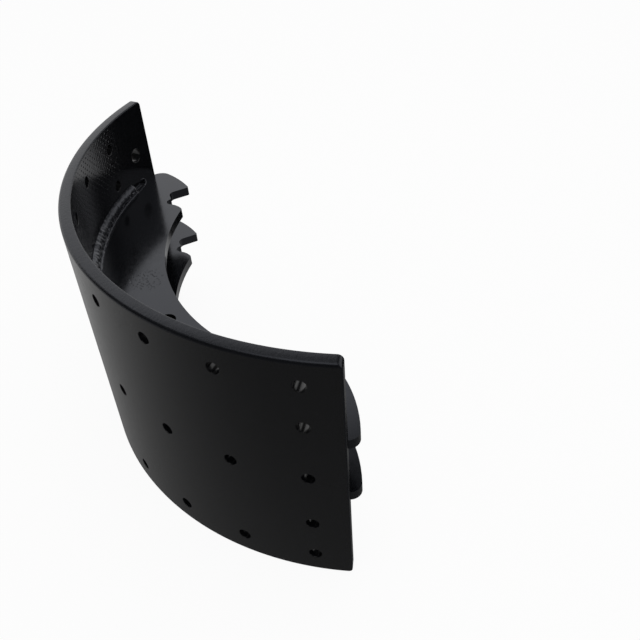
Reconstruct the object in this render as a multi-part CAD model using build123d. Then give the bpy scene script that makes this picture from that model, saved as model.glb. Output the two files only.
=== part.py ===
from build123d import *

import os
from math import cos, degrees, radians, sin, sqrt

# Drum brake shoe for a heavy S-cam axle, bare of its lining and hardware.
# A rolled plate, the table, carries the lining. Two crescent webs stand on its
# inner face and are joined to it by four fillet welds. The shoe stands on the
# side edge of its table: the drum axis is parallel to Z, the table's outer face
# looks towards -Y, the cam end lies at -X and the anchor end at +X.
# Lengths are millimetres and angles are degrees.

# Table
table_radius = 190.5              # outer face, where the lining seats
table_thickness = 7.5
table_width = 168.0
table_arc = 113.0                 # end to end
table_corner_radius = 3.4
table_edge_chamfer = 0.5

# Rivet holes for the lining
rivet_hole_diameter = 8.2
rivet_columns = 8
rivet_anchor_margin = 21.0        # anchor end to the first column, along the outer face
rivet_cam_margin = 46.7           # cam end to the last column, along the outer face
rivet_edge_margin = 16.0          # side edge to the outer rows
rivet_inner_row = 39.3            # middle to the rows that only the end columns have

# Two larger holes beside the webs, near the cam end
side_hole_diameter = 11.0
side_hole_setback = 16.7          # from the cam end, along the outer face
side_hole_offset = 48.0           # from the middle

# Webs
web_thickness = 6.5
web_gap = 35.6                    # clear width between the two webs
web_depth = 45.7                  # table to inner edge

# Hole through both webs, for the return spring's pin
cross_hole_diameter = 10.5
cross_hole_angle = 50.0           # from the anchor end
cross_hole_edge = 13.0            # inner edge to the hole's centre

# Cam end of a web: nose, roller seat, relief notch and heel
# Setbacks are from the end of the table, and rises are from the webs' inner edge
nose_overhang = 4.6               # past the end of the table
nose_bulge = 2.3
nose_corner_radius = 9.0
nose_tip_setback = 5.7
nose_tip_rise = 9.6
nose_tip_radius = 1.2
roller_seat_setback = 18.6        # to the corner where the seat's two flats would meet
roller_seat_rise = 18.1
roller_seat_radius = 4.5
relief_setback = 27.0             # to the notch's centre
relief_rise = 8.9
relief_radius = 3.5
relief_ridge_turn = 45.0          # from straight towards the table to the ridge beside the seat
relief_heel_turn = 110.0          # the same, to the top of the heel
heel_setback = 31.8
heel_bulge = 1.2
heel_radius = 2.2

# Anchor end of a web
anchor_overhang = 6.2             # past the end of the table
anchor_bulge = 3.0
anchor_setback = 6.5              # end of the table to the inner corner
anchor_outer_radius = 6.5
anchor_inner_radius = 3.0

# Welds: a wide pass on the table over a narrow pass on the web
weld_table_leg = 7.5
weld_web_leg = 6.0
weld_valley = 3.0                 # valley between the passes, from both plates
weld_crown = 0.9                  # how far each pass bulges
weld_anchor_setback = 1.0         # anchor end of the table to the end of the bead
weld_cam_setback = 7.0            # cam end of the table to the end of the bead
weld_gap_towards_anchor = 12.0    # angle of the bare stretch, from the cross hole
weld_gap_towards_cam = 3.0

# Derived places, in the plane of the drum axis
table_inner_radius = table_radius - table_thickness
web_inner_radius = table_inner_radius - web_depth
anchor_direction = -90 + table_arc / 2
cam_direction = -90 - table_arc / 2
web_outer_face = web_gap / 2 + web_thickness


def on_arc(radius, angle):
    """Point at a radius and an angle from the anchor end."""
    direction = radians(anchor_direction - angle)
    return Vector(radius * cos(direction), radius * sin(direction))


def past_anchor(out, level):
    """Point near the anchor end: out past the table's end, level from the drum axis."""
    direction = radians(anchor_direction)
    return Vector(
        level * cos(direction) - out * sin(direction),
        level * sin(direction) + out * cos(direction),
    )


def past_cam(out, level):
    """Point near the cam end: out past the table's end, level from the drum axis."""
    direction = radians(cam_direction)
    return Vector(
        level * cos(direction) + out * sin(direction),
        level * sin(direction) - out * cos(direction),
    )


def from_relief(turn):
    """Point on the edge of the relief notch, a turn away from straight towards the table."""
    direction = radians(cam_direction + turn)
    centre = past_cam(-relief_setback, web_inner_radius + relief_rise)
    return centre + Vector(cos(direction), sin(direction)) * relief_radius


def along_table(distance):
    """Angle that a distance spans on the table's outer face."""
    return degrees(distance / table_radius)


def radial_drill(angle, height, diameter):
    """Cylinder along a radius of the drum, through the table."""
    centre = on_arc(table_radius - table_thickness / 2, angle)
    facing = Plane(
        origin=(centre.X, centre.Y, height),
        z_dir=(centre.X, centre.Y, 0),
    )
    return facing * Cylinder(diameter / 2, 3 * table_thickness)


def drill_table(table):
    """Cut the rivet pattern and the two side holes."""
    outer_row = table_width / 2 - rivet_edge_margin
    first_angle = along_table(rivet_anchor_margin)
    last_angle = table_arc - along_table(rivet_cam_margin)
    pitch_angle = (last_angle - first_angle) / (rivet_columns - 1)
    drills = []
    for column in range(rivet_columns):
        angle = first_angle + column * pitch_angle
        rows = [-outer_row, 0, outer_row]
        if column in (0, rivet_columns - 1):
            rows += [-rivet_inner_row, rivet_inner_row]
        drills += [radial_drill(angle, row, rivet_hole_diameter) for row in rows]
    side_angle = table_arc - along_table(side_hole_setback)
    for offset in (-side_hole_offset, side_hole_offset):
        drills.append(radial_drill(side_angle, offset, side_hole_diameter))
    return table - drills


def make_table():
    """Rolled plate with rounded corners and softened edges."""
    outline = make_face(
        [
            ThreePointArc(
                on_arc(table_radius, 0),
                on_arc(table_radius, table_arc / 2),
                on_arc(table_radius, table_arc),
            ),
            Line(on_arc(table_radius, table_arc), on_arc(table_inner_radius, table_arc)),
            ThreePointArc(
                on_arc(table_inner_radius, table_arc),
                on_arc(table_inner_radius, table_arc / 2),
                on_arc(table_inner_radius, 0),
            ),
            Line(on_arc(table_inner_radius, 0), on_arc(table_radius, 0)),
        ]
    )
    table = extrude(outline, table_width / 2, both=True)
    corners = [
        edge
        for edge in table.edges()
        if abs(edge.length - table_thickness) < 0.01
    ]
    table = fillet(corners, table_corner_radius)
    rims = [
        edge
        for face in table.faces().filter_by(GeomType.CYLINDER).sort_by(SortBy.AREA)[-2:]
        for edge in face.edges()
    ]
    table = chamfer(rims, table_edge_chamfer)
    return drill_table(table)


def upright_edge(solid, point):
    """Edge parallel to Z that passes closest to a point in the plane."""
    uprights = solid.edges().filter_by(Axis.Z)
    return min(uprights, key=lambda edge: (edge.center() - point).cross(Vector(0, 0, 1)).length)


def make_web():
    """Crescent plate with the nose and roller seat at one end and the anchor foot at the other."""
    nose_corner = past_cam(nose_overhang, table_inner_radius)
    tip = past_cam(-nose_tip_setback, web_inner_radius + nose_tip_rise)
    seat_corner = past_cam(-roller_seat_setback, web_inner_radius + roller_seat_rise)
    relief_centre = past_cam(-relief_setback, web_inner_radius + relief_rise)
    ridge = from_relief(-relief_ridge_turn)
    heel_top = from_relief(relief_heel_turn)
    heel = past_cam(-heel_setback, sqrt(web_inner_radius**2 - heel_setback**2))
    foot_base = past_anchor(-anchor_setback, sqrt(web_inner_radius**2 - anchor_setback**2))
    foot_corner = past_anchor(anchor_overhang, table_inner_radius)

    crescent = make_face(
        [
            SagittaArc(foot_base, foot_corner, anchor_bulge),
            Line(foot_corner, on_arc(table_inner_radius, 0)),
            ThreePointArc(
                on_arc(table_inner_radius, 0),
                on_arc(table_inner_radius, table_arc / 2),
                on_arc(table_inner_radius, table_arc),
            ),
            Line(on_arc(table_inner_radius, table_arc), nose_corner),
            SagittaArc(nose_corner, tip, nose_bulge),
            Line(tip, seat_corner),
            Line(seat_corner, ridge),
            Line(ridge, heel_top),
            SagittaArc(heel_top, heel, heel_bulge),
            ThreePointArc(heel, on_arc(web_inner_radius, table_arc / 2), foot_base),
        ]
    )
    crescent -= Pos(relief_centre) * Circle(relief_radius)
    hole_centre = on_arc(web_inner_radius + cross_hole_edge, cross_hole_angle)
    crescent -= Pos(hole_centre) * Circle(cross_hole_diameter / 2)
    web = extrude(crescent, web_thickness / 2, both=True)
    for point, radius in (
        (foot_corner, anchor_outer_radius),
        (foot_base, anchor_inner_radius),
        (nose_corner, nose_corner_radius),
        (tip, nose_tip_radius),
        (seat_corner, roller_seat_radius),
        (heel, heel_radius),
    ):
        web = fillet(upright_edge(web, point), radius)
    return web


def weld_section():
    """Section of a bead in the corner between the table and the upper web's outer face."""
    root = Vector(table_inner_radius, 0, web_outer_face)
    web_toe = root - Vector(weld_web_leg, 0, 0)
    table_toe = root + Vector(0, 0, weld_table_leg)
    valley = root + Vector(-weld_valley, 0, weld_valley)
    return make_face(
        [
            Line(root, web_toe),
            ThreePointArc(web_toe, crown_of(web_toe, valley), valley),
            ThreePointArc(valley, crown_of(valley, table_toe), table_toe),
            Line(table_toe, root),
        ]
    )


def crown_of(start, end):
    """Highest point of a pass that bulges inwards and up between two toes."""
    run = end - start
    outward = Vector(-run.Z, 0, run.X).normalized()
    return (start + end) / 2 + outward * weld_crown


def make_weld(start, end):
    """Bead on the upper web from one angle to another, with rounded ends."""
    section = Rot(0, 0, anchor_direction - end) * weld_section()
    bead = revolve(section, Axis.Z, end - start)
    for angle, turn in ((start, 90), (end, -90)):
        root = on_arc(table_inner_radius, angle)
        upright = Axis((root.X, root.Y, 0), (0, 0, 1))
        bead += revolve(Rot(0, 0, anchor_direction - angle) * weld_section(), upright, turn)
    return bead & Cylinder(table_inner_radius, 2 * table_width)


def along_inner_face(distance):
    """Angle that a distance spans on the table's inner face."""
    return degrees(distance / table_inner_radius)


upper_web = Pos(0, 0, (web_gap + web_thickness) / 2) * make_web()
anchor_inset = along_inner_face(weld_anchor_setback + weld_web_leg)
cam_inset = along_inner_face(weld_cam_setback + weld_web_leg)
anchor_bead = make_weld(anchor_inset, cross_hole_angle - weld_gap_towards_anchor)
cam_bead = make_weld(cross_hole_angle + weld_gap_towards_cam, table_arc - cam_inset)

parts = {
    "table": make_table(),
    "web_upper": upper_web,
    "web_lower": mirror(upper_web, Plane.XY),
    "weld_upper_anchor": anchor_bead,
    "weld_upper_cam": cam_bead,
    "weld_lower_anchor": mirror(anchor_bead, Plane.XY),
    "weld_lower_cam": mirror(cam_bead, Plane.XY),
}

box = Compound(list(parts.values())).bounding_box()
to_base = Pos(-box.center().X, -box.center().Y, -box.min.Z)
os.makedirs("parts", exist_ok=True)
for name, solid in parts.items():
    export_step(to_base * solid, f"parts/{name}.step")
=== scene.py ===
import math
import random

import bmesh
import bpy
from mathutils import Matrix, Vector, noise
from mathutils.geometry import delaunay_2d_cdt


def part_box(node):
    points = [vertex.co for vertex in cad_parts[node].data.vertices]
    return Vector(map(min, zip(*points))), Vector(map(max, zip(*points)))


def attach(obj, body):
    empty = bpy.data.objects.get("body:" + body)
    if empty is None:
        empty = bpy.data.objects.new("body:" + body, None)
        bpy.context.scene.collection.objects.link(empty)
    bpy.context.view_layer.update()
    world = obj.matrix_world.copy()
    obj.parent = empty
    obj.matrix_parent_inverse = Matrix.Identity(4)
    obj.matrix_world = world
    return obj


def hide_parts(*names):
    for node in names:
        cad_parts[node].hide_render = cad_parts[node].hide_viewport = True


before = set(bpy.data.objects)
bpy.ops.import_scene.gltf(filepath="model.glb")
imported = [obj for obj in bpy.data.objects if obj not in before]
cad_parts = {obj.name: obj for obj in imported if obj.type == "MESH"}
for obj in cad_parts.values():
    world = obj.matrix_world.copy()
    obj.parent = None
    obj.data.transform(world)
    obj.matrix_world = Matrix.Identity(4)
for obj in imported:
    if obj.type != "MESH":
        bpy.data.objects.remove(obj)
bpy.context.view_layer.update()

# Looks for a drum brake shoe in black semi-gloss paint. Lengths are metres.
# The drum axis is parallel to Z, the table's outer face looks towards -Y, the
# cam end lies at -X and the anchor end at +X.

MM = 0.001

# Table
table_radius = 190.5 * MM        # outer face
table_thickness = 7.5 * MM
table_arc = math.radians(113)
table_corner_radius = 3.4 * MM
rim_outer_softness = 1.9 * MM    # radius along the sheared rim's outer edge
rim_inner_softness = 0.8 * MM
rim_crown = 0.32 * MM            # how far the sheared rim falls away towards its outer edge
end_softness = 0.75 * MM
hole_softness = 0.35 * MM

# Holes of the table
rivet_hole_radius = 4.1 * MM
rivet_columns = 8
rivet_anchor_margin = 21.0 * MM
rivet_cam_margin = 46.7 * MM
rivet_edge_margin = 16.0 * MM
rivet_inner_row = 39.3 * MM
side_hole_radius = 5.5 * MM
side_hole_setback = 16.7 * MM
side_hole_offset = 48.0 * MM

# Places that follow from the frame
table_low, table_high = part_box("table")
middle_height = (table_low.z + table_high.z) / 2
half_width = (table_high.z - table_low.z) / 2
upper_web_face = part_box("web_upper")[1].z
lower_web_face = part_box("web_lower")[0].z
axis_y = table_low.y + table_radius
inner_radius = table_radius - table_thickness
anchor_direction = -math.pi / 2 + table_arc / 2


def polar(point):
    """Radius and direction in radians of a point, seen from the drum axis."""
    return math.hypot(point.x, point.y - axis_y), math.atan2(point.y - axis_y, point.x)


def on_arc(radius, direction, height):
    """Point at a radius and a direction from the drum axis."""
    return Vector((radius * math.cos(direction), axis_y + radius * math.sin(direction), height))


# ------------------------------------------------------------------ node trees


class Nodes:
    """A node tree with short ways to add and join its nodes."""

    def __init__(self, tree):
        self.tree = tree

    def add(self, kind, **settings):
        node = self.tree.nodes.new(kind)
        for key, value in settings.items():
            setattr(node, key, value)
        return node

    def join(self, source, target):
        self.tree.links.new(source, target)

    def feed(self, value, socket):
        """Put a number, or another node's output, into a socket."""
        if isinstance(value, bpy.types.NodeSocket):
            self.join(value, socket)
        else:
            socket.default_value = value

    def math(self, operation, first, second=0.0, third=0.0):
        node = self.add("ShaderNodeMath", operation=operation)
        for value, socket in zip((first, second, third), node.inputs):
            self.feed(value, socket)
        return node.outputs[0]

    def ramp(self, value, low, high, to_low=0.0, to_high=1.0):
        """Map a stretch of a value to another stretch, smoothly, and hold it outside."""
        node = self.add("ShaderNodeMapRange", interpolation_type="SMOOTHSTEP")
        for item, socket in zip((value, low, high, to_low, to_high), node.inputs):
            self.feed(item, socket)
        return node.outputs[0]

    def pick(self, choice, otherwise, chosen):
        """One value where the choice is 0, and another where it is 1."""
        node = self.add("ShaderNodeMix", data_type="FLOAT")
        for value, name in ((choice, "Factor"), (otherwise, "A"), (chosen, "B")):
            self.feed(value, node.inputs[name])
        return node.outputs["Result"]


class Shader(Nodes):
    """A new material, with textures and bumps in the object's own coordinates."""

    def __init__(self, name):
        self.material = bpy.data.materials.new(name)
        self.material.use_nodes = True
        super().__init__(self.material.node_tree)
        self.surface = self.tree.nodes["Principled BSDF"]
        self.coordinates = self.add("ShaderNodeTexCoord").outputs["Object"]

    def noise(self, scale, detail=2.0, roughness=0.5, coordinates=None):
        node = self.add("ShaderNodeTexNoise")
        self.join(coordinates or self.coordinates, node.inputs["Vector"])
        node.inputs["Scale"].default_value = scale
        node.inputs["Detail"].default_value = detail
        node.inputs["Roughness"].default_value = roughness
        return node.outputs["Fac"]

    def place(self):
        """Radius from the drum axis, direction round it, and height."""
        parts = self.add("ShaderNodeSeparateXYZ")
        self.join(self.coordinates, parts.inputs[0])
        x = parts.outputs["X"]
        y = self.math("SUBTRACT", parts.outputs["Y"], axis_y)
        radius = self.math("SQRT", self.math("MULTIPLY_ADD", x, x, self.math("MULTIPLY", y, y)))
        return radius, self.math("ARCTAN2", y, x), parts.outputs["Z"]

    def stretched(self, parts, factors):
        """Coordinates made of some lengths, each with its own factor."""
        way = self.add("ShaderNodeCombineXYZ")
        for part, factor, socket in zip(parts, factors, way.inputs):
            self.join(self.math("MULTIPLY", part, factor), socket)
        return way.outputs[0]

    def bump(self, height, distance, below=None):
        """Normal of a bumpy surface, over the bumps below it; a distance under 0 makes dents."""
        node = self.add("ShaderNodeBump")
        node.inputs["Distance"].default_value = distance
        node.inputs["Strength"].default_value = 1.0
        self.join(height, node.inputs["Height"])
        if below is not None:
            self.join(below, node.inputs["Normal"])
        return node.outputs["Normal"]


# --------------------------------------------------------------------- paints
# Noise scales are in features per metre.

paint_dark = (0.0028, 0.0030, 0.0037)
paint_dusty = (0.0042, 0.0045, 0.0055)
paint_ior = 1.6                       # on the outer face, the webs and the welds
thin_paint_ior = 1.46                 # on the sheared rims
inner_paint_ior = 1.45
painted_cool_reflection_tint = (0.84, 0.88, 1.0, 1)     # painted reflection colour: a bluish tint on the reflections of all but the outer face
plain_sheen = (1, 1, 1, 1)

cloud_scale = 90                      # of the dust
gloss_scale = 260                     # of the patches of more and less gloss
gloss_spread = (-0.015, 0.02)         # of the roughness between them
noise_middle = (0.3, 0.7)             # where most of a noise's values lie
peel_scale = 900                      # of the orange peel
plate_peel = 0.004 * MM
web_peel = 0.003 * MM
rough_peel = 0.02 * MM                # on rims and welds

speck_scale = 620
speck_rise = (0.63, 0.72)             # values of the noise that a speck rises between
speck_core = 0.4                      # share of the reach inside which no speck fades
outer_speck_place = Vector((62.7, -44.0, 153.4)) * MM
outer_speck_reach = 12 * MM
outer_speck_depth = 0.2 * MM
web_speck_place = Vector((-26.6, -11.4, 108.3)) * MM
web_speck_reach = 13 * MM
web_speck_depth = 0.14 * MM

scratch_depth = 0.2 * MM
scratch_half_width = 0.45 * MM
scratch_strokes = ((14, 5, 9), (-14, 5, 17), (-42, 5, 9))   # degrees; start and end, mm from the hole
scratch_fades = (2, 4)                                      # mm at the start and at the end

dimple_pitch = 5.0 * MM
dimple_radius = 0.85 * MM
dimple_depth = 0.22 * MM
dimple_fade = (math.radians(-137), math.radians(-127))      # towards the cam end
dimple_least = 0.12                                         # share of the depth that stays there
dimple_patch_scale = 240                                    # of the patches of deeper dimples
dimple_patches = (0.3, 0.6, 0.25, 1.0)                      # the noise's values, and shares of the depth
streak_scale = 520
streak_stretch = 0.12                                       # streaks run from edge to edge
streak_depth = 0.07 * MM

grain_scale = 650
grain_stretch = 0.45                                        # grain runs through the plate
grain_depth = 0.1 * MM


def paint(name, roughness, peel, tint=1.0, ior=paint_ior, sheen=painted_cool_reflection_tint):
    """Black semi-gloss paint with fine orange peel, a little dust and a painted tint on its reflections.
    """
    shader = Shader(name)
    surface = shader.surface
    tone = shader.add("ShaderNodeMix", data_type="RGBA")
    for socket, colour in (("A", paint_dark), ("B", paint_dusty)):
        tone.inputs[socket].default_value = (*(channel * tint for channel in colour), 1)
    shader.join(shader.noise(cloud_scale, detail=4), tone.inputs["Factor"])
    shader.join(tone.outputs["Result"], surface.inputs["Base Color"])
    surface.inputs["IOR"].default_value = ior
    # the specular tint is painted reflection colour, bluish unless the plain tint is given
    surface.inputs["Specular Tint"].default_value = sheen
    least, most = (roughness + change for change in gloss_spread)
    gloss = shader.ramp(shader.noise(gloss_scale, detail=3), *noise_middle, least, most)
    shader.join(gloss, surface.inputs["Roughness"])
    skin = shader.bump(shader.noise(peel_scale, detail=2), peel)
    return shader, skin


def specks(shader, centre, reach):
    """Small dents that gather round one place."""
    away = shader.add("ShaderNodeVectorMath", operation="DISTANCE")
    shader.join(shader.coordinates, away.inputs[0])
    away.inputs[1].default_value = centre
    near = shader.ramp(away.outputs["Value"], reach * speck_core, reach, 1.0, 0.0)
    dots = shader.ramp(shader.noise(speck_scale, detail=0), *speck_rise)
    return shader.math("MULTIPLY", dots, near)


def scratches(shader):
    """Fine strokes that leave the middle hole of the anchor end's rivet column."""
    radius, direction, height = shader.place()
    hole_direction = anchor_direction - rivet_anchor_margin / table_radius
    onward = shader.math("MULTIPLY", shader.math("SUBTRACT", direction, hole_direction), table_radius)
    upward = shader.math("SUBTRACT", height, middle_height)
    found = None
    for turn, start, end in scratch_strokes:
        cosine, sine = math.cos(math.radians(turn)), math.sin(math.radians(turn))
        run = shader.math("MULTIPLY_ADD", onward, cosine, shader.math("MULTIPLY", upward, sine))
        aside = shader.math("MULTIPLY_ADD", upward, cosine, shader.math("MULTIPLY", onward, -sine))
        stroke = shader.ramp(shader.math("ABSOLUTE", aside), 0.0, scratch_half_width, 1.0, 0.0)
        for edge, far in ((start, start + scratch_fades[0]), (end, end - scratch_fades[1])):
            stroke = shader.math("MULTIPLY", stroke, shader.ramp(run, edge * MM, far * MM))
        found = stroke if found is None else shader.math("ADD", found, stroke)
    return found


def dimples(shader, around, height):
    """Shallow round dents in staggered rows."""
    found = []
    for shift in (0.0, 0.5):
        ways = []
        for part in (around, height):
            phase = shader.math("MULTIPLY_ADD", part, 1 / dimple_pitch, shift)
            ways.append(shader.math("SUBTRACT", shader.math("FRACT", phase), 0.5))
        square = shader.math("MULTIPLY_ADD", ways[0], ways[0], shader.math("MULTIPLY", ways[1], ways[1]))
        reach = dimple_radius / dimple_pitch
        found.append(shader.ramp(shader.math("SQRT", square), 0.0, reach, 1.0, 0.0))
    deepness = shader.ramp(shader.noise(dimple_patch_scale, detail=1), *dimple_patches)
    return shader.math("MULTIPLY", shader.math("ADD", found[0], found[1]), deepness)


def finish_outside():
    """Smooth paint with a few specks, and scratches at a rivet hole."""
    shader, skin = paint("outer_paint", roughness=0.2, peel=plate_peel, sheen=plain_sheen)
    spots = specks(shader, outer_speck_place, outer_speck_reach)
    skin = shader.bump(spots, -outer_speck_depth, below=skin)
    skin = shader.bump(scratches(shader), -scratch_depth, below=skin)
    shader.join(skin, shader.surface.inputs["Normal"])
    return shader.material


def finish_inside():
    """Paint over the streaks and the roller's dimples, which fade towards the cam end."""
    shader, skin = paint("inner_paint", roughness=0.18, peel=plate_peel, ior=inner_paint_ior)
    radius, direction, height = shader.place()
    around = shader.math("MULTIPLY", direction, table_radius)
    rolled = shader.ramp(direction, *dimple_fade, dimple_least, 1.0)
    dents = shader.math("MULTIPLY", dimples(shader, around, height), rolled)
    way = shader.stretched((around, radius, height), (1.0, 1.0, streak_stretch))
    skin = shader.bump(dents, -dimple_depth, below=skin)
    streaks = shader.noise(streak_scale, detail=3, coordinates=way)
    skin = shader.bump(streaks, streak_depth, below=skin)
    shader.join(skin, shader.surface.inputs["Normal"])
    return shader.material


def finish_rim():
    """Thin rough paint over the grain of the sheared edges."""
    shader, skin = paint("rim_paint", roughness=0.26, peel=rough_peel, tint=1.5, ior=thin_paint_ior)
    radius, direction, height = shader.place()
    around = shader.math("MULTIPLY", direction, table_radius)
    way = shader.stretched((around, radius, height), (1.0, grain_stretch, 1.0))
    grain = shader.noise(grain_scale, detail=4, roughness=0.6, coordinates=way)
    skin = shader.bump(grain, grain_depth, below=skin)
    shader.join(skin, shader.surface.inputs["Normal"])
    return shader.material


def finish_web():
    """Glossier paint with a patch of specks."""
    shader, skin = paint("web_paint", roughness=0.14, peel=web_peel)
    spots = specks(shader, web_speck_place, web_speck_reach)
    shader.join(shader.bump(spots, -web_speck_depth, below=skin), shader.surface.inputs["Normal"])
    return shader.material


def finish_weld():
    """Dustier paint that follows the rough bead."""
    shader, skin = paint("weld_paint", roughness=0.22, peel=rough_peel, tint=2.5)
    shader.join(skin, shader.surface.inputs["Normal"])
    return shader.material


# ----------------------------------------------------------------------- webs

web_softness = 0.6 * MM
web_soft_angle = math.radians(30)     # sharper edges than this are rounded
web_soft_segments = 3


def make_joiner():
    """Modifier group that joins a web's patches into one smooth surface."""
    group = bpy.data.node_groups.new("join", "GeometryNodeTree")
    group.interface.new_socket("Geometry", in_out="INPUT", socket_type="NodeSocketGeometry")
    group.interface.new_socket("Geometry", in_out="OUTPUT", socket_type="NodeSocketGeometry")
    nodes = Nodes(group)
    start = nodes.add("NodeGroupInput")
    plain = nodes.add("GeometryNodeRemoveAttribute")
    plain.inputs["Name"].default_value = "custom_normal"
    merge = nodes.add("GeometryNodeMergeByDistance")
    merge.inputs["Distance"].default_value = MM / 1000
    smooth = nodes.add("GeometryNodeSetShadeSmooth")
    end = nodes.add("NodeGroupOutput")
    chain = (start, plain, merge, smooth, end)
    for source, target in zip(chain, chain[1:]):
        nodes.join(source.outputs[0], target.inputs[0])
    return group


def soften_web(piece, joiner, material):
    """Paint on a web's solid, and modifiers that round its edges."""
    piece.material_slots[0].link = "OBJECT"
    piece.material_slots[0].material = material
    piece.modifiers.new("join", "NODES").node_group = joiner
    soften = piece.modifiers.new("soften", "BEVEL")
    soften.limit_method = "ANGLE"
    soften.angle_limit = web_soft_angle
    soften.width = web_softness
    soften.segments = web_soft_segments
    soften.harden_normals = True


# ---------------------------------------------------------------------- table
# The table is drawn flat, as distances along its outer face and heights from its
# middle, and then bent. Its loops are the outline and the holes. Each point of a
# loop has a profile, which says how the plate's edge is rounded there.

softness_steps = 6
crown_steps = 5
hole_segments = 32
corner_segments = 10
skin_step_along = 3.0 * MM
skin_step_up = 5.0 * MM
skin_margin = 0.9 * MM           # least distance between a free point and a loop
outer_slot, inner_slot, rim_slot = range(3)


def hole_list():
    """Middle and radius of each hole in the flat table."""
    length = table_radius * table_arc
    pitch = (length - rivet_anchor_margin - rivet_cam_margin) / (rivet_columns - 1)
    outer_row = half_width - rivet_edge_margin
    holes = []
    for column in range(rivet_columns):
        rows = [-outer_row, 0, outer_row]
        if column in (0, rivet_columns - 1):
            rows += [-rivet_inner_row, rivet_inner_row]
        holes += [(rivet_anchor_margin + column * pitch, row, rivet_hole_radius) for row in rows]
    for offset in (-side_hole_offset, side_hole_offset):
        holes.append((length - side_hole_setback, offset, side_hole_radius))
    return holes


def outline_points():
    """Points round the flat table with their outward directions, and closer steps at the corners."""
    length = table_radius * table_arc
    radius = table_corner_radius
    points = []
    corners = [
        (length - radius, half_width - radius, 0),
        (radius, half_width - radius, 90),
        (radius, -half_width + radius, 180),
        (length - radius, -half_width + radius, 270),
    ]
    for index, (along, height, start) in enumerate(corners):
        for step in range(corner_segments + 1):
            turn = math.radians(start + 90 * step / corner_segments)
            outward = Vector((math.cos(turn), math.sin(turn)))
            points.append((Vector((along, height)) + outward * radius, outward))
        following = corners[(index + 1) % 4]
        turn = math.radians(start + 90)
        outward = Vector((math.cos(turn), math.sin(turn)))
        first = Vector((along, height)) + outward * radius
        last = Vector(following[:2]) + outward * radius
        count = round((last - first).length / skin_step_along)
        points += [(first.lerp(last, step / count), outward) for step in range(1, count)]
    return points


def edge_profile(outer_softness, inner_softness, crown):
    """Inset, depth and tilt of each step from the outer face round an edge to the inner face."""
    flat = table_thickness - outer_softness - inner_softness
    lean = math.atan(2 * crown / flat)
    profile = []
    for step in range(softness_steps + 1):
        turn = (math.pi / 2 - lean) * step / softness_steps
        inset = crown + outer_softness * (math.cos(lean) - math.sin(turn))
        profile.append((inset, outer_softness * (1 - math.cos(turn)), math.pi / 2 - turn))
    for step in range(1, crown_steps):
        share = 1 - step / crown_steps
        tilt = math.atan(2 * crown * share / flat)
        profile.append((crown * share * share, outer_softness + flat * (1 - share), tilt))
    for step in range(softness_steps + 1):
        turn = math.pi / 2 * step / softness_steps
        inset = inner_softness * (1 - math.cos(turn))
        profile.append((inset, table_thickness - inner_softness * (1 - math.sin(turn)), -turn))
    return profile


def table_loops(holes):
    """Each loop's points with their outward directions, its profiles, and its material slot."""
    outline = outline_points()
    rim = edge_profile(rim_outer_softness, rim_inner_softness, rim_crown)
    end = edge_profile(end_softness, end_softness, 0)
    profiles = []
    for flat, outward in outline:
        share = outward.y**2
        profiles.append([
            tuple(low + (high - low) * share for low, high in zip(*pair)) for pair in zip(end, rim)
        ])
    loops = [(outline, profiles, rim_slot)]
    for along, height, radius in holes:
        points = []
        for step in range(hole_segments):
            turn = -2 * math.pi * step / hole_segments
            inward = Vector((-math.cos(turn), -math.sin(turn)))
            points.append((Vector((along, height)) - inward * (radius - hole_softness), inward))
        profile = edge_profile(hole_softness, hole_softness, 0)
        loops.append((points, [profile] * hole_segments, outer_slot))
    return loops


def gap_to_holes(along, height, holes):
    """Distance from a flat place to the nearest hole's edge, under 0 inside a hole."""
    return min(math.hypot(along - hole[0], height - hole[1]) - hole[2] for hole in holes)


def face_points(holes):
    """Free points inside the flat table, clear of every loop."""
    length = table_radius * table_arc
    columns = round(length / skin_step_along)
    rows = round(2 * half_width / skin_step_up)
    margin = skin_margin + rim_outer_softness
    points = []
    for column in range(1, columns):
        for row in range(1, rows):
            along = length * column / columns
            height = half_width * (2 * row / rows - 1)
            if min(along, length - along, half_width - abs(height)) < margin:
                continue
            if gap_to_holes(along, height, holes) > skin_margin + hole_softness:
                points.append(Vector((along, height)))
    return points


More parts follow.
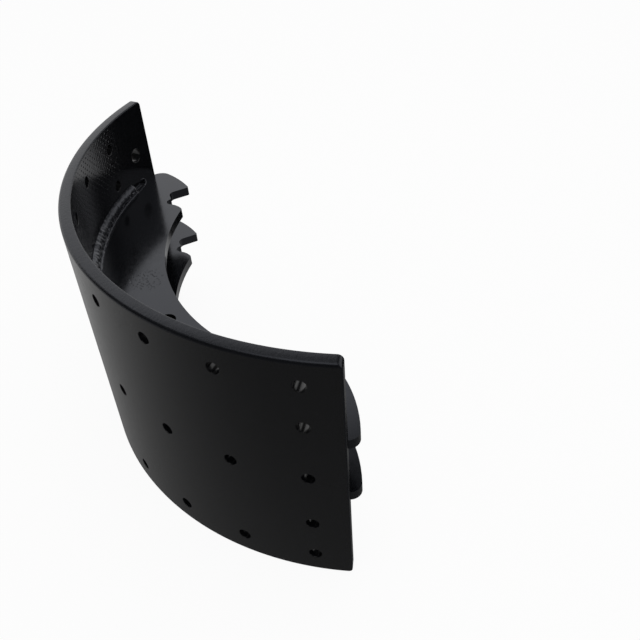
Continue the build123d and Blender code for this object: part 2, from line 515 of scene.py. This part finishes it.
class BentPlate:
    """Mesh of the bent table in the making, with a normal for each vertex."""

    def __init__(self):
        self.mesh = bmesh.new()
        self.normals = []

    def add(self, flat, depth, sideways, tilt):
        """Vertex at a flat place; tilt turns its normal from the face to the sideways direction."""
        direction = anchor_direction - flat.x / table_radius
        place = on_arc(table_radius - depth, direction, middle_height + flat.y)
        outward = Vector((math.cos(direction), math.sin(direction), 0))
        onward = Vector((math.sin(direction), -math.cos(direction), 0))
        edgeways = onward * sideways.x + Vector((0, 0, sideways.y))
        self.normals.append(outward * math.sin(tilt) + edgeways * math.cos(tilt))
        return self.mesh.verts.new(place)

    def wrap(self, points, profiles, slot):
        """Faces round the edge at one loop; gives its vertices on the outer and inner face."""
        rings = []
        for level in zip(*profiles):
            rings.append([
                self.add(flat - outward * inset, depth, outward, tilt)
                for (flat, outward), (inset, depth, tilt) in zip(points, level)
            ])
        for before, after in zip(rings, rings[1:]):
            for index in range(len(points)):
                following = (index + 1) % len(points)
                corners = (before[index], after[index], after[following], before[following])
                self.mesh.faces.new(corners).material_index = slot
        return rings[0], rings[-1]

    def fill(self, loops, rings, free, holes, inner):
        """Triangles of the outer or the inner face, between its loops and the free points."""
        level = -1 if inner else 0
        flat_points, owners, borders = [], [], []
        for (points, profiles, slot), ring in zip(loops, rings):
            start = len(flat_points)
            for (flat, outward), profile in zip(points, profiles):
                flat_points.append(flat - outward * profile[level][0])
            owners += ring
            borders += [(start + index, start + (index + 1) % len(ring)) for index in range(len(ring))]
        flat_points += free
        depth = table_thickness if inner else 0.0
        tilt = -math.pi / 2 if inner else math.pi / 2
        owners += [self.add(flat, depth, Vector((0, 0)), tilt) for flat in free]
        result = delaunay_2d_cdt(flat_points, borders, [], 1, 1e-7)  # 1: inside the loops only
        corners, triangles, origins = result[0], result[2], result[3]
        for triangle in triangles:
            middle = sum((corners[index] for index in triangle), Vector((0, 0))) / 3
            if gap_to_holes(middle.x, middle.y, holes) > 0:
                chosen = [owners[origins[index][0]] for index in triangle]
                face = self.mesh.faces.new(reversed(chosen) if inner else chosen)
                face.material_index = inner_slot if inner else outer_slot


def make_table_skin():
    """Rolled plate with rounded edges over the plain table node."""
    holes = hole_list()
    loops = table_loops(holes)
    plate = BentPlate()
    outer_rings, inner_rings = zip(*[plate.wrap(*loop) for loop in loops])
    free = face_points(holes)
    plate.fill(loops, outer_rings, free, holes, inner=False)
    plate.fill(loops, inner_rings, free, holes, inner=True)
    bmesh.ops.recalc_face_normals(plate.mesh, faces=plate.mesh.faces)
    mesh = bpy.data.meshes.new("table_skin")
    plate.mesh.to_mesh(mesh)
    plate.mesh.free()
    mesh.shade_smooth()
    mesh.normals_split_custom_set_from_vertices(plate.normals)
    piece = bpy.data.objects.new("table_skin", mesh)
    bpy.context.scene.collection.objects.link(piece)
    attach(piece, "root")
    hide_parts("table")
    return piece


# ---------------------------------------------------------------------- welds
# Each bead is a wide pass against the table with a thin pass beside it on the web.
# At the cam end the wide pass stops short and the thin one hooks up the table.
# A section is drawn with x out from the table and y away from the web.

web_weld_leg = 6.0 * MM
table_weld_leg = 7.5 * MM
weld_valley = Vector((4.3, 1.8)) * MM
weld_step = 0.3 * MM
weld_sink = 0.4 * MM             # how far the hidden root lies inside the plates
wide_crown = 0.7 * MM
thin_crown = 0.5 * MM
full_run = 2.4 * MM              # a pass narrower than this has less crown
pass_points = 13

end_taper = 11 * MM              # over which the section grows from an end
end_overrun = 1 * MM             # added to the distance from an end
bare_end = 8.0 * MM              # how far the wide pass stops short at the cam end
bare_leg = 1.8 * MM
bare_taper = 4 * MM              # over which the wide pass starts
bare_valley = Vector((0.45, 0.45)) * bare_leg
cap_steps = 22
cap_turn = math.radians(97)      # of the rounded ends, past a quarter turn into the plates

web_leg_share = 0.95             # of the solid's leg, before the sway
table_leg_share = 0.55           # the same, at the bead's ends
valley_share = 0.6               # the same, at the bead's ends
taper_growth = 0.4               # what the taper adds to both
leg_sway = 0.04                  # share of a leg that comes and goes along the bead
sway_length = 4 * MM
ripple_pitch = 1.6 * MM
ripple_height = 0.05 * MM
ripple_lag = 1.3 * MM            # how far a ripple's middle runs ahead of its toes
ripple_jitter = 0.35             # share of the pitch
ripple_draws = 400
ripple_roundness = 0.7           # power under 1: full ripples with sharp valleys
cap_lag = 0.7                    # share of the web leg that the ripples go on for round an end
lump_height = 0.16 * MM
lump_length = 2.6 * MM
lump_spread = 2.2                # lumps across one pass
thin_lumps = 0.5                 # share of the lumps' height on the thin pass
toe_share = 0.15                 # share of ripples and lumps that stays at a pass's toes
pit_margins = (4 * MM, 3 * MM)   # from the bead's end nearest the cam, and from the other
pit_spacing = (1.5, 7.5)         # mm, as are the next three
pit_across = (-0.3, 1.6)
pit_half_length = (0.4, 1.0)
pit_depth = (0.7, 1.3)
pit_half_width = 0.55 * MM

hook_radius = 0.62 * MM
hook_sides = 12
hook_steps = 10                  # between two places of the path
hook_lump = 1.1 * MM
hook_swell = 0.16                # share of the radius that comes and goes
hook_path = [                    # mm along the bead, out from the table and away from the web
    (20.0, 5.3, 0.1),
    (12.0, 4.9, 0.1),
    (5.0, 4.4, 0.1),
    (0.0, 3.6, 0.1),
    (-4.0, 2.3, 0.2),
    (-6.0, 0.9, 0.8),
    (-6.0, 0.1, 2.2),
    (-4.2, 0.1, 3.3),
    (-1.5, 0.1, 4.0),
]


def close_rings(mesh, rings):
    """Skin over a row of rings, with both ends closed."""
    size = len(rings[0])
    for before, after in zip(rings, rings[1:]):
        for index in range(size):
            following = (index + 1) % size
            mesh.faces.new((before[index], before[following], after[following], after[index]))
    mesh.faces.new(rings[0])
    mesh.faces.new(list(reversed(rings[-1])))


def weld_profile(web_leg, table_leg, valley):
    """Places, outward directions and shares of the bead's section, from web toe to table toe."""
    corners = [Vector((web_leg, 0)), valley, Vector((0, table_leg))]
    points = []
    for first, last, crown in zip(corners, corners[1:], (thin_crown, wide_crown)):
        run = last - first
        outward = Vector((run.y, -run.x)).normalized()
        crown *= min(1, run.length / full_run)
        for step in range(pass_points):
            share = step / (pass_points - 1)
            bulge = 4 * crown * share * (1 - share)
            points.append((first + run * share + outward * bulge, outward, share))
    return points


def make_pits(length, dice):
    """Small holes along the valley: place along the bead, across it, half length and depth."""
    pits = []
    along = pit_margins[0]
    while along < length - pit_margins[1]:
        sizes = [dice.uniform(*limits) * MM for limits in (pit_across, pit_half_length, pit_depth)]
        pits.append((along, *sizes))
        along += dice.uniform(*pit_spacing) * MM
    return pits


class Bead:
    """Shape of the two-pass weld in place of one weld node."""

    def __init__(self, node, web_face, up):
        directions = [polar(vertex.co)[1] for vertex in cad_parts[node].data.vertices]
        reach = web_weld_leg / inner_radius
        self.first = min(directions) + reach
        self.last = max(directions) - reach
        self.length = (self.last - self.first) * inner_radius
        self.web_face = web_face
        self.up = up
        self.hooked = "cam" in node
        dice = random.Random(node)
        self.jitter = [dice.uniform(-ripple_jitter, ripple_jitter) for number in range(ripple_draws)]
        self.pits = make_pits(self.length, dice)

    def stations(self):
        """Direction from the axis, turn round the bead's end and length so far, from the cam side."""
        count = max(2, round(self.length / weld_step))
        places = []
        for step in range(cap_steps, 0, -1):
            places.append((self.first, -cap_turn * step / cap_steps, 0))
        for step in range(count + 1):
            share = step / count
            places.append((self.first + (self.last - self.first) * share, 0, share * self.length))
        for step in range(1, cap_steps + 1):
            places.append((self.last, cap_turn * step / cap_steps, self.length))
        return places

    def section(self, along):
        """Legs and valley at a place along the bead, and how full the wide pass is there."""
        taper = min(1, (self.length - along + end_overrun) / end_taper)
        if self.hooked:
            fullness = min(1, math.sqrt(max(0, (along - bare_end + end_overrun) / bare_taper)))
        else:
            taper = min(taper, (along + end_overrun) / end_taper)
            fullness = 1
        sway = leg_sway * noise.noise(Vector((along / sway_length, 0.3, self.up)))
        web_leg = web_weld_leg * (web_leg_share + sway)
        table_leg = table_weld_leg * (table_leg_share + taper_growth * taper - sway)
        valley = weld_valley * (valley_share + taper_growth * taper)
        web_leg = bare_leg + (web_leg - bare_leg) * fullness
        table_leg = bare_leg + (table_leg - bare_leg) * fullness
        valley = valley * fullness + bare_valley * (1 - fullness)
        return web_leg, table_leg, valley, fullness

    def ripple(self, along, share, lag):
        """Height of the ripples, whose middles run ahead of their toes."""
        phase = (along + ripple_lag * (1 - (2 * share - 1) ** 2) + lag) / ripple_pitch
        number = int(phase)
        wave = (phase - number + self.jitter[number % ripple_draws]) % 1
        return ripple_height * (math.sin(math.pi * wave) ** ripple_roundness - 0.5)

    def lump(self, along, turn, share, wide):
        """Height of the larger lumps; each pass and each web has its own stretch of the noise."""
        row = share * lump_spread + (3 if wide else 0)
        patch = Vector((along / lump_length, row, self.up * 5 + turn))
        return lump_height * noise.noise(patch) * (1 if wide else thin_lumps)

    def ring(self, mesh, direction, turn, along):
        """Vertices of the section at one station."""
        web_leg, table_leg, valley, fullness = self.section(along)
        root = on_arc(inner_radius, direction, self.web_face)
        inward = Vector((-math.cos(direction + turn), -math.sin(direction + turn), 0))
        ring = []
        for index, (point, outward, share) in enumerate(weld_profile(web_leg, table_leg, valley)):
            wide = index >= pass_points
            edge = min(1, 6 * share * (1 - share) + toe_share)
            lift = self.ripple(along, share, abs(turn) * web_leg * cap_lag) * edge
            lift += self.lump(along, turn, share, wide) * edge
            across = (point - valley).length * (1 if wide else -1)
            for place, aside, half_length, depth in self.pits:
                if abs(along - place) < 3 * half_length:
                    far = ((along - place) / half_length) ** 2 + ((across - aside) / pit_half_width) ** 2
                    lift -= depth * math.exp(-far) * fullness
            raised = point + outward * lift
            ring.append(mesh.verts.new(root + inward * raised.x + Vector((0, 0, self.up * raised.y))))
        sunk = root - inward * weld_sink * math.cos(turn) - Vector((0, 0, self.up * weld_sink))
        ring.append(mesh.verts.new(sunk))
        return ring

    def hook_line(self):
        """Smooth line through the places of the hook's path."""
        places = []
        for along, out, rise in hook_path:
            direction = self.first + along * MM / inner_radius
            place = on_arc(inner_radius - out * MM, direction, self.web_face)
            places.append(place + Vector((0, 0, self.up * rise * MM)))
        line = []
        for index in range(len(places) - 1):
            before, start = places[max(index - 1, 0)], places[index]
            end, after = places[index + 1], places[min(index + 2, len(places) - 1)]
            bend_in = (end - before) / 2
            bend_out = (after - start) / 2
            for step in range(hook_steps):
                share = step / hook_steps
                line.append(
                    start * (2 * share**3 - 3 * share**2 + 1)
                    + bend_in * (share**3 - 2 * share**2 + share)
                    + end * (3 * share**2 - 2 * share**3)
                    + bend_out * (share**3 - share**2)
                )
        line.append(places[-1])
        return line

    def add_hook(self, mesh):
        """Thin pass that runs past the wide one and curls up the table."""
        line = self.hook_line()
        side = None
        rings = []
        for index, place in enumerate(line):
            way = (line[min(index + 1, len(line) - 1)] - line[max(index - 1, 0)]).normalized()
            side = way.orthogonal() if side is None else side - way * side.dot(way)
            side.normalize()
            other = way.cross(side)
            share = index / (len(line) - 1)
            swell = 1 + hook_swell * noise.noise(place / hook_lump)
            radius = hook_radius * swell * min(1, math.sqrt(max(0.03, (1 - share) * 12)))
            ring = []
            for step in range(hook_sides):
                turn = 2 * math.pi * step / hook_sides
                spoke = side * math.cos(turn) + other * math.sin(turn)
                ring.append(mesh.verts.new(place + spoke * radius))
            rings.append(ring)
        close_rings(mesh, rings)


def make_weld(node, web_face, up):
    """Two-pass bead over a plain weld node, on the web's face at a height."""
    bead = Bead(node, web_face, up)
    work = bmesh.new()
    close_rings(work, [bead.ring(work, *station) for station in bead.stations()])
    if bead.hooked:
        bead.add_hook(work)
    bmesh.ops.recalc_face_normals(work, faces=work.faces)
    mesh = bpy.data.meshes.new(node + "_bead")
    work.to_mesh(mesh)
    work.free()
    mesh.shade_smooth()
    piece = bpy.data.objects.new(node + "_bead", mesh)
    bpy.context.scene.collection.objects.link(piece)
    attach(piece, "root")
    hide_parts(node)
    return piece


# ---------------------------------------------------------- camera and studio
# Pixels are those of the photograph, which is square.

image_side = 640
focal_pixels = 792.27
principal_x = 323.49
principal_y = 305.72
camera_place = Vector((383.48, -82.88, 414.24)) * MM
camera_heading = math.radians(64.74)
camera_tilt = math.radians(40.0)
camera_roll = math.radians(-3.74)
sensor_width = 36.0
near_clip = 0.01

ahead = Vector((-math.sin(camera_heading), math.cos(camera_heading), 0))
rightwards = Vector((math.cos(camera_heading), math.sin(camera_heading), 0))
upwards = Vector((0, 0, 1))
studio_centre = Vector((0, 0, middle_height))


def heading(turn):
    """Level direction, a turn in degrees to the left of the camera's own."""
    return ahead * math.cos(math.radians(turn)) - rightwards * math.sin(math.radians(turn))


lamp_place = studio_centre + rightwards * 0.1 + ahead * 0.1 + upwards * 1.5
lamp_side = 1.0
lamp_power = 7

world_strength = 0.5             # of the world's light on the shoe
world_glows = [                  # direction, cosines that a glow rises between, dim and bright
    (heading(15), 0.59, 0.67, 0.03, 1.0),       # behind the shoe
    (heading(-80), 0.58, 0.83, 0.0, 0.9),       # beside it
    (upwards, 0.84, 0.91, 0.0, 1.0),            # above it
]

floor_half_side = 4.0
floor_colour = (0.9, 0.9, 0.9, 1)
floor_glow = (heading(27), -0.2, 0.44, 0.1, 0.55)   # the same, but metres from the origin
floor_camera_glow = 0.94         # the rest is lit, and so keeps the shadow

flag_centre = Vector((-9.6, 34.4, 0)) * MM
flag_start = math.radians(36.4)
flag_arc = math.radians(112.9)
flag_height = 168 * MM
flag_steps = 40
flag_colour = (0.01, 0.01, 0.01, 1)


def make_camera():
    """Camera at the photograph's viewing angle and frame."""
    data = bpy.data.cameras.new("camera")
    data.sensor_width = sensor_width
    data.lens = focal_pixels / image_side * sensor_width
    data.shift_x = (image_side / 2 - principal_x) / image_side
    data.shift_y = (principal_y - image_side / 2) / image_side
    data.clip_start = near_clip
    camera = bpy.data.objects.new("camera", data)
    camera.matrix_world = (
        Matrix.Translation(camera_place)
        @ Matrix.Rotation(camera_heading, 4, "Z")
        @ Matrix.Rotation(math.pi / 2 - camera_tilt, 4, "X")
        @ Matrix.Rotation(camera_roll, 4, "Z")
    )
    bpy.context.scene.collection.objects.link(camera)
    bpy.context.scene.camera = camera


def make_lamp():
    """Soft square lamp above the shoe, which the paint doesn't mirror."""
    data = bpy.data.lights.new("top", "AREA")
    data.shape = "RECTANGLE"
    data.size = lamp_side
    data.size_y = lamp_side
    data.energy = lamp_power
    lamp = bpy.data.objects.new("top", data)
    lamp.location = lamp_place
    lamp.rotation_euler = (studio_centre - lamp_place).to_track_quat("-Z", "Y").to_euler()
    lamp.visible_glossy = False
    bpy.context.scene.collection.objects.link(lamp)


def rays(nodes, name):
    """Whether a ray is of one kind."""
    return nodes.add("ShaderNodeLightPath").outputs[name]


def mirrored(nodes):
    """1 for rays that see the background by reflection or transmission."""
    return nodes.math("MAXIMUM", rays(nodes, "Is Glossy Ray"), rays(nodes, "Is Transmission Ray"))


def along(nodes, vector, direction, low, high, dim, bright):
    """Brightness that rises along a direction, from one place to another."""
    dot = nodes.add("ShaderNodeVectorMath", operation="DOT_PRODUCT")
    nodes.join(vector, dot.inputs[0])
    dot.inputs[1].default_value = direction
    return nodes.ramp(dot.outputs["Value"], low, high, dim, bright)


def make_world():
    """White to the camera, and in reflections white behind, beside and above the shoe."""
    world = bpy.data.worlds.new("studio")
    world.use_nodes = True
    bpy.context.scene.world = world
    nodes = Nodes(world.node_tree)
    background = world.node_tree.nodes["Background"]
    vector = nodes.add("ShaderNodeTexCoord").outputs["Generated"]
    glows = [along(nodes, vector, *glow) for glow in world_glows]
    mirror = nodes.math("MAXIMUM", nodes.math("MAXIMUM", glows[0], glows[1]), glows[2])
    strength = nodes.pick(mirrored(nodes), world_strength, mirror)
    strength = nodes.pick(rays(nodes, "Is Camera Ray"), strength, 1.0)
    nodes.join(strength, background.inputs["Strength"])
    background.inputs["Color"].default_value = (1, 1, 1, 1)


def matt(name, colour):
    """Material of one matt colour."""
    shader = Shader(name)
    shader.surface.inputs["Base Color"].default_value = colour
    shader.surface.inputs["Roughness"].default_value = 1.0
    shader.surface.inputs["Specular IOR Level"].default_value = 0.0
    return shader


def make_floor():
    """Pale floor that keeps the shoe's shadow, and glows to the camera and in reflections."""
    side = floor_half_side
    mesh = bpy.data.meshes.new("floor")
    corners = [(-side, -side, 0), (side, -side, 0), (side, side, 0), (-side, side, 0)]
    mesh.from_pydata(corners, [], [(0, 1, 2, 3)])
    floor = bpy.data.objects.new("floor", mesh)
    bpy.context.scene.collection.objects.link(floor)
    shader = matt("floor_white", floor_colour)
    glow = shader.add("ShaderNodeEmission")
    glow.inputs["Color"].default_value = (1, 1, 1, 1)
    mirror = along(shader, shader.coordinates, *floor_glow)
    shader.join(shader.pick(rays(shader, "Is Camera Ray"), mirror, 1.0), glow.inputs["Strength"])
    seen = shader.math("MULTIPLY", rays(shader, "Is Camera Ray"), floor_camera_glow)
    blend = shader.add("ShaderNodeMixShader")
    shader.join(shader.pick(mirrored(shader), seen, 1.0), blend.inputs[0])
    shader.join(shader.surface.outputs[0], blend.inputs[1])
    shader.join(glow.outputs[0], blend.inputs[2])
    shader.join(blend.outputs[0], shader.tree.nodes["Material Output"].inputs["Surface"])
    mesh.materials.append(shader.material)


def make_flag():
    """Dark curved flag beside the shoe, hidden from the camera, that its inner faces mirror."""
    mesh = bpy.data.meshes.new("flag")
    corners = []
    for step in range(flag_steps + 1):
        direction = flag_start + flag_arc * step / flag_steps
        foot = flag_centre + Vector((math.cos(direction), math.sin(direction), 0)) * table_radius
        corners += [foot, foot + upwards * flag_height]
    faces = [(2 * step, 2 * step + 2, 2 * step + 3, 2 * step + 1) for step in range(flag_steps)]
    mesh.from_pydata(corners, [], faces)
    flag = bpy.data.objects.new("flag", mesh)
    bpy.context.scene.collection.objects.link(flag)
    flag.visible_camera = False
    flag.visible_shadow = False
    flag.visible_diffuse = False
    mesh.materials.append(matt("flag_black", flag_colour).material)


# ------------------------------------------------------------------ the scene

weld_paint = finish_weld()
for node, face, up in (
    ("weld_upper_anchor", upper_web_face, 1),
    ("weld_upper_cam", upper_web_face, 1),
    ("weld_lower_anchor", lower_web_face, -1),
    ("weld_lower_cam", lower_web_face, -1),
):
    make_weld(node, face, up).data.materials.append(weld_paint)

table_skin = make_table_skin()
for material in (finish_outside(), finish_inside(), finish_rim()):
    table_skin.data.materials.append(material)

web_paint = finish_web()
joiner = make_joiner()
for node in ("web_upper", "web_lower"):
    soften_web(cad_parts[node], joiner, web_paint)

make_camera()
make_lamp()
make_world()
make_floor()
make_flag()
bpy.context.scene.view_settings.view_transform = "Standard"
